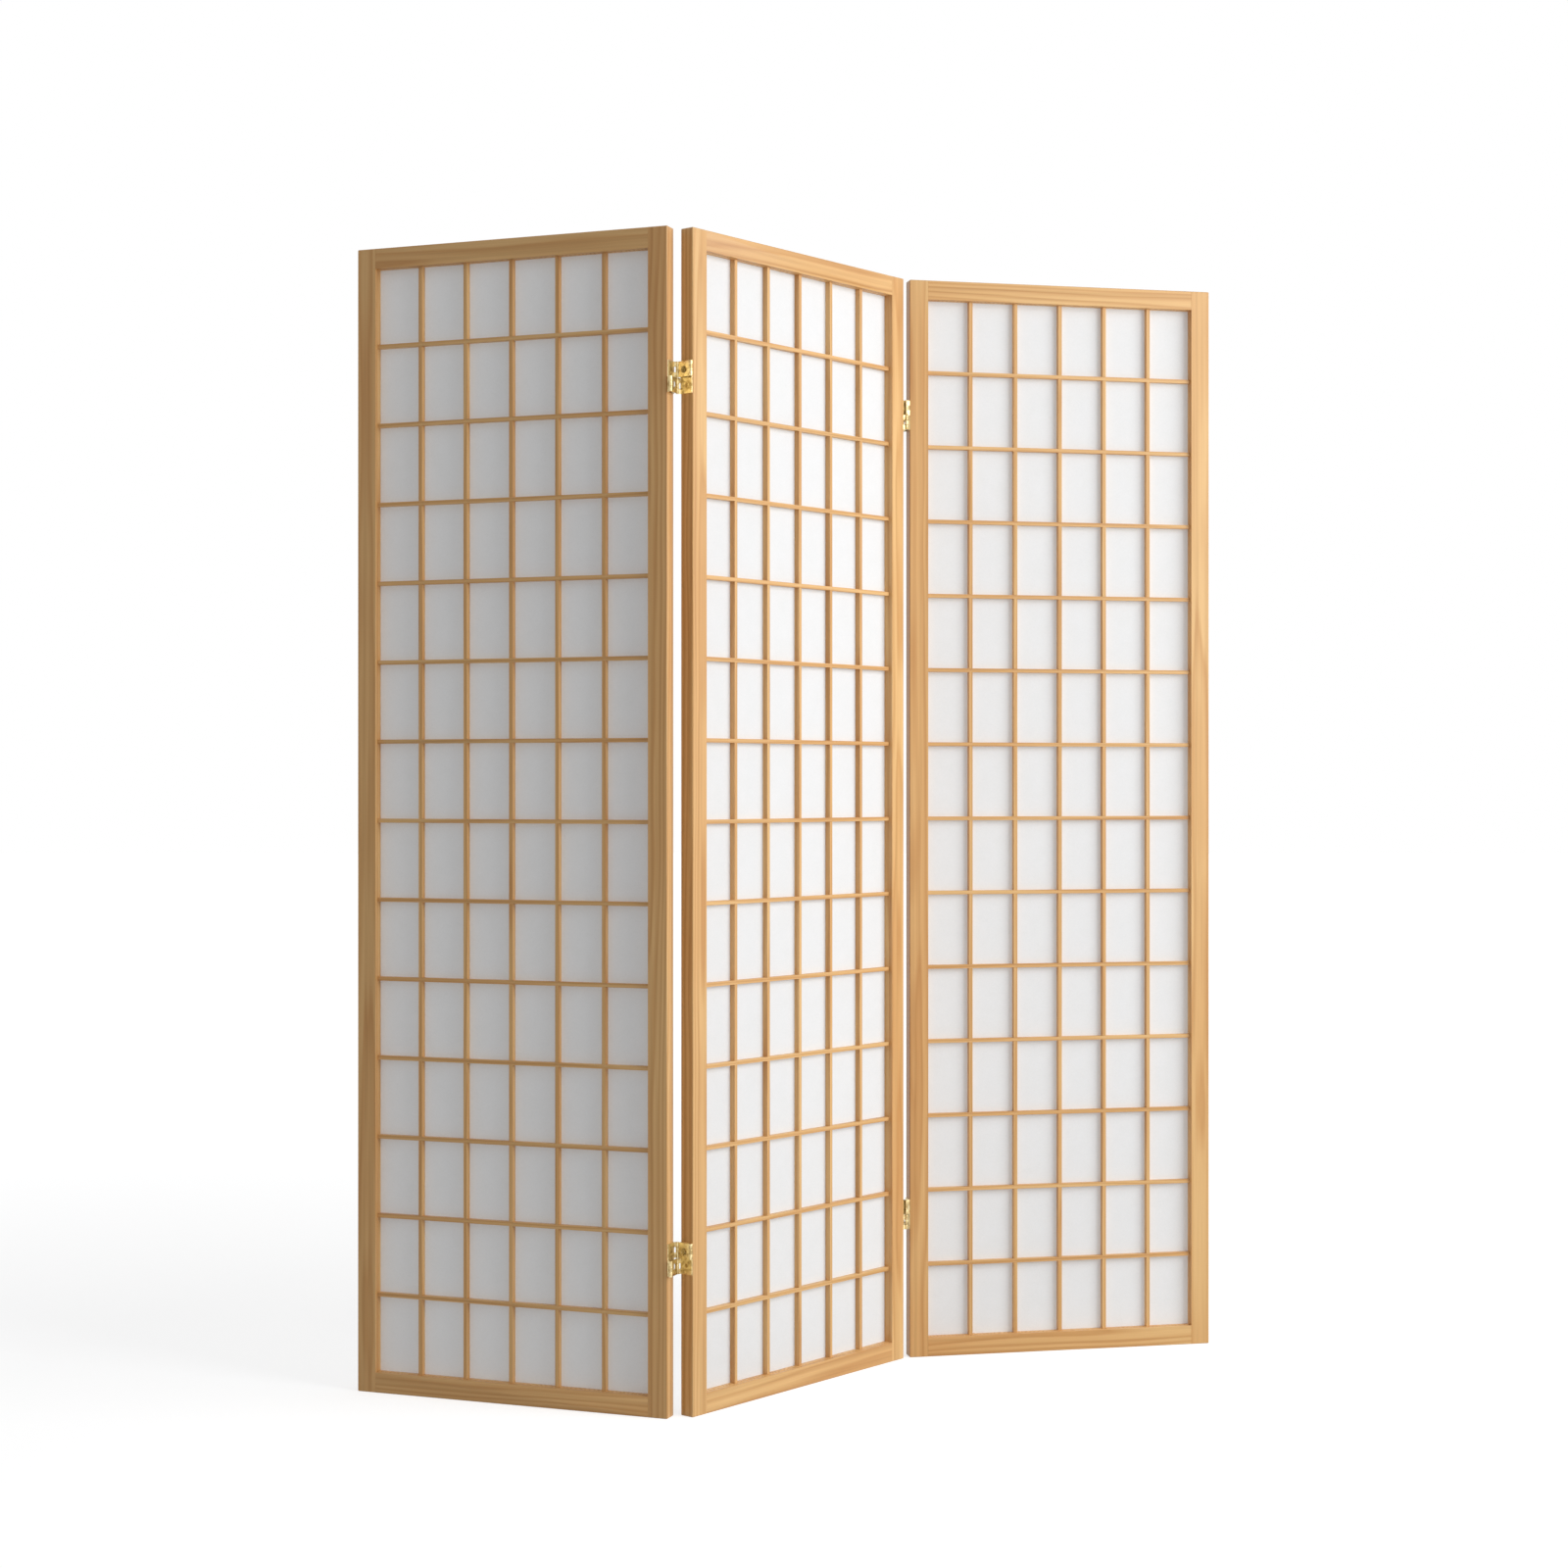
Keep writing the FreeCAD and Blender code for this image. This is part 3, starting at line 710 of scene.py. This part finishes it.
@dataclass
class ShojiPanel:
    """One framed panel: stiles, rails, lattice and paper.

    Attributes:
        panel: Which of the three it is.
        yaw: How far it is turned about the upright, in radians.
        first_cut: Where this panel's cuts of wood start.
        columns: The number of cells across.
        rows: The number of cells up.
        steps: The number of mesh steps across one cell of paper.
        ripple: The most that the taut paper stands back between the bars, in metres.
        on_bars: The share of the ripple that is left along the bars.
        waver_pace: How fast the ripple changes from one mesh step to the next.
        panel_pace: How far first_cut sets one panel's ripple apart from another's.
        member_edge: The rounding on the frame members, in metres.
        bar_edge: The rounding on the lattice, in metres.
        grains: Which way the grain runs in each wooden piece.
        lattice: The pieces that the paper is glued to.
    """

    panel: Panel
    yaw: float
    first_cut: float
    columns: int = 6
    rows: int = 14
    steps: int = 8
    ripple: float = 0.22 * MILLIMETRE
    on_bars: float = 0.1
    waver_pace: float = 0.31
    panel_pace: float = 10.0
    member_edge: float = 0.35 * MILLIMETRE
    bar_edge: float = 0.25 * MILLIMETRE
    grains: dict[str, Grain] = field(
        default_factory=lambda: {
            "left_stile": Grain.UPRIGHT,
            "right_stile": Grain.UPRIGHT,
            "bottom_rail": Grain.LEVEL,
            "top_rail": Grain.LEVEL,
            "edge_strips": Grain.UPRIGHT,
            "vertical_bars": Grain.UPRIGHT,
            "horizontal_bars": Grain.LEVEL,
        }
    )
    lattice: tuple[str, ...] = ("vertical_bars", "horizontal_bars", "edge_strips")

    def dress(self, paper: bpy.types.Material) -> None:
        """Give every piece of the panel its finish.

        Args:
            paper: The paper's material, shared by the three panels.
        """
        for number, (name, grain) in enumerate(self.grains.items()):
            node = f"{self.panel.body}_{name}"
            low, high = turned_box(node, self.yaw)
            pine = PlanedPine(
                name=f"Pine {node}",
                yaw=self.yaw,
                centre=tuple((low + high) / 2),
                grain=grain,
                cut=self.first_cut + number,
            )
            piece = finish_node(node, pine.build())
            ease(piece, self.bar_edge if name in self.lattice else self.member_edge)
            log.info("%s: softwood, grain %s", node, grain.value)
        self.glue_paper(paper)

    def glue_paper(self, paper: bpy.types.Material) -> None:
        """Glue the sheet of paper behind the lattice.

        Args:
            paper: The paper's material.
        """
        node = f"{self.panel.body}_paper"
        low, high = turned_box(node, self.yaw)
        mesh = self._sheet_mesh(low, high)
        mesh.materials.append(paper)
        sheet = bpy.data.objects.new(mesh.name, mesh)
        bpy.context.scene.collection.objects.link(sheet)
        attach(sheet, self.panel.body)
        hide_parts(node)
        log.info("%s: sheet of paper, %d by %d cells", node, self.columns, self.rows)

    def _sheet_mesh(self, low: Vector, high: Vector) -> bpy.types.Mesh:
        """Make the sheet as a grid that wavers a little between the bars.

        Args:
            low: The sheet's lowest corner, across, back and up, in metres.
            high: Its highest corner.

        Returns:
            The sheet's mesh.
        """
        across, up = self.columns * self.steps, self.rows * self.steps
        turn = Matrix.Rotation(self.yaw, 3, "Z")
        places = []
        for row in range(up + 1):
            for column in range(across + 1):
                place = Vector((
                    low.x + (high.x - low.x) * column / across,
                    low.y + self._stand_back(column, row),
                    low.z + (high.z - low.z) * row / up,
                ))
                places.append(turn @ place)
        faces = []
        for row in range(up):
            for column in range(across):
                start = row * (across + 1) + column
                faces.append((start, start + 1, start + across + 2, start + across + 1))
        mesh = bpy.data.meshes.new(f"{self.panel.value}_paper_sheet")
        mesh.from_pydata(places, [], faces)
        for face in mesh.polygons:
            face.use_smooth = True
        return mesh

    def _stand_back(self, column: int, row: int) -> float:
        """Work out how far the paper stands back from the lattice at one point.

        Args:
            column: The point's step across the sheet.
            row: The point's step up the sheet.

        Returns:
            The distance in metres, smallest along the bars.
        """
        in_cell = math.sin(math.pi * (column % self.steps) / self.steps)
        in_cell *= math.sin(math.pi * (row % self.steps) / self.steps)
        seed = Vector((
            self.waver_pace * column,
            self.waver_pace * row,
            self.panel_pace * self.first_cut,
        ))
        waver = 0.5 + 0.5 * noise.noise(seed)
        return self.ripple * (self.on_bars + (1 - self.on_bars) * in_cell * waver)


@dataclass
class DoubleActingHinge:
    """One hinge: two leaves, two links, pins and screws.

    Attributes:
        name: The hinge's name, such as left_top_hinge.
        edge: The rounding on the stamped edges, in metres.
    """

    name: str
    edge: float = 0.12 * MILLIMETRE

    def dress(
        self,
        plate: bpy.types.Material,
        wire: bpy.types.Material,
        screw: bpy.types.Material,
    ) -> None:
        """Give every piece of the hinge its finish.

        Args:
            plate: The finish of the leaves and links.
            wire: The finish of the pins.
            screw: The finish of the screws.
        """
        finishes = {
            "middle_leaf": plate,
            "outer_leaf": plate,
            "upper_link": plate,
            "lower_link": plate,
            "upper_pins": wire,
            "lower_pins": wire,
            "middle_screws": screw,
            "outer_screws": screw,
        }
        for part, material in finishes.items():
            piece = finish_node(f"{self.name}_{part}", material)
            ease(piece, self.edge)
        log.info("%s: brass leaves, links, pins and screws", self.name)


@dataclass(frozen=True)
class SoftLamp:
    """One broad lamp with soft light.

    Attributes:
        name: The lamp's name.
        place: Where it stands, in metres.
        aim: The point that it is turned to, in metres.
        face: The width and height of its face, in metres.
        power: Its power in watts.
    """

    name: str
    place: tuple[float, float, float]
    aim: tuple[float, float, float]
    face: tuple[float, float]
    power: float

    def stand(self) -> None:
        """Stand the lamp in the scene, turned to its aim."""
        light = bpy.data.lights.new(self.name, "AREA")
        light.shape = "RECTANGLE"
        light.size, light.size_y = self.face
        light.energy = self.power
        lamp = bpy.data.objects.new(self.name, light)
        lamp.location = self.place
        lamp.rotation_mode = "QUATERNION"
        to_aim = Vector(self.aim) - lamp.location
        lamp.rotation_quaternion = to_aim.to_track_quat("-Z", "Y")
        bpy.context.scene.collection.objects.link(lamp)


@dataclass(frozen=True)
class Studio:
    """The floor, the lamp, the room's light and the camera.

    Attributes:
        camera_place: Where the camera stands, in metres.
        camera_tip: How far it is tipped up from looking straight down, in degrees.
        lens: The camera's focal length, in millimetres.
        sensor: The width of the camera's sensor, in millimetres.
        floor_size: The floor's width and depth, in metres.
        room_colour: The linear colour of the even light from all round.
        room_strength: How strong that light is.
        white_strength: How bright the background shows, where 1 is white.
        key: The lamp beside the screen.
    """

    camera_place: tuple[float, float, float] = (-0.0261, -3.9853, 0.9045)
    camera_tip: float = 90.0
    lens: float = 60.05
    sensor: float = 36.0
    floor_size: float = 60.0
    room_colour: Colour = (0.98, 0.99, 1.0)
    room_strength: float = 0.40
    white_strength: float = 1.0
    key: SoftLamp = SoftLamp(
        name="Key",
        place=(3.17, -1.48, 2.0),
        aim=(0.0, 0.0, 0.85),
        face=(3.0, 2.8),
        power=118.0,
    )

    def build(self) -> None:
        """Make everything round the object."""
        self._floor()
        self._world()
        self.key.stand()
        self._camera()
        view = bpy.context.scene.view_settings
        view.view_transform = "Standard"

    def _floor(self) -> None:
        """Lay the floor."""
        half = self.floor_size / 2
        corners = [(-half, -half, 0), (half, -half, 0), (half, half, 0), (-half, half, 0)]
        mesh = bpy.data.meshes.new("Floor")
        mesh.from_pydata(corners, [], [(0, 1, 2, 3)])
        mesh.materials.append(StudioFloor().build())
        floor = bpy.data.objects.new("Floor", mesh)
        bpy.context.scene.collection.objects.link(floor)

    def _world(self) -> None:
        """Light the room evenly, and show white behind the object."""
        world = bpy.data.worlds.new("Studio")
        bpy.context.scene.world = world
        nodes = NodeTree(world, "ShaderNodeOutputWorld")
        white = self._background(nodes, (1.0, 1.0, 1.0), self.white_strength)
        lighting = self._background(nodes, self.room_colour, self.room_strength)
        mix = nodes.add("ShaderNodeMixShader")
        nodes.join(nodes.showing_rays(), mix.inputs["Fac"])
        nodes.join(lighting, mix.inputs[1])
        nodes.join(white, mix.inputs[2])
        nodes.finish(mix.outputs[0])

    def _background(
        self, nodes: NodeTree, colour: Colour, strength: float
    ) -> bpy.types.NodeSocket:
        """Make light that comes evenly from all round.

        Args:
            nodes: The world being made.
            colour: Its linear colour.
            strength: How strong it is.

        Returns:
            The light's socket.
        """
        background = nodes.add("ShaderNodeBackground")
        background.inputs["Color"].default_value = (*colour, 1)
        background.inputs["Strength"].default_value = strength
        return background.outputs[0]

    def _camera(self) -> None:
        """Stand the camera where the picture was taken from."""
        data = bpy.data.cameras.new("Camera")
        data.lens = self.lens
        data.sensor_width = self.sensor
        camera = bpy.data.objects.new("Camera", data)
        tip = Matrix.Rotation(math.radians(self.camera_tip), 4, "X")
        camera.matrix_world = Matrix.Translation(self.camera_place) @ tip
        bpy.context.scene.collection.objects.link(camera)
        bpy.context.scene.camera = camera


def panel_yaws() -> dict[Panel, float]:
    """Work out how far each panel is turned about the upright.

    Each fold's upper limit is flat, so it says how far the outer panel is turned
    from the middle one as the screen stands.

    Returns:
        The angle of each panel, in radians.
    """
    joints = frame["record"]["behaviour"]["joints"]
    from_flat = {joint["name"]: max(joint["range_deg"]) for joint in joints}
    return {
        Panel.LEFT: math.radians(MIDDLE_YAW - from_flat["left_fold"]),
        Panel.MIDDLE: math.radians(MIDDLE_YAW),
        Panel.RIGHT: math.radians(MIDDLE_YAW - from_flat["right_fold"]),
    }


def main() -> None:
    """Dress the screen and set up the studio."""
    logging.basicConfig(level=logging.INFO, format="%(name)s: %(message)s")
    paper = ShojiPaper().build()
    for number, (panel, yaw) in enumerate(panel_yaws().items()):
        first_cut = CUTS_IN_PANEL * number
        ShojiPanel(panel, yaw, first_cut).dress(paper)
    plate = BrightBrass("Brass plate").build()
    wire = BrightBrass("Brass wire", roughness=0.26).build()
    screw = BrightBrass("Brass screws", bright=(184, 158, 108), roughness=0.28).build()
    for side in ("left", "right"):
        for level in ("top", "bottom"):
            DoubleActingHinge(f"{side}_{level}_hinge").dress(plate, wire, screw)
    Studio().build()


if __name__ == "__main__":
    main()
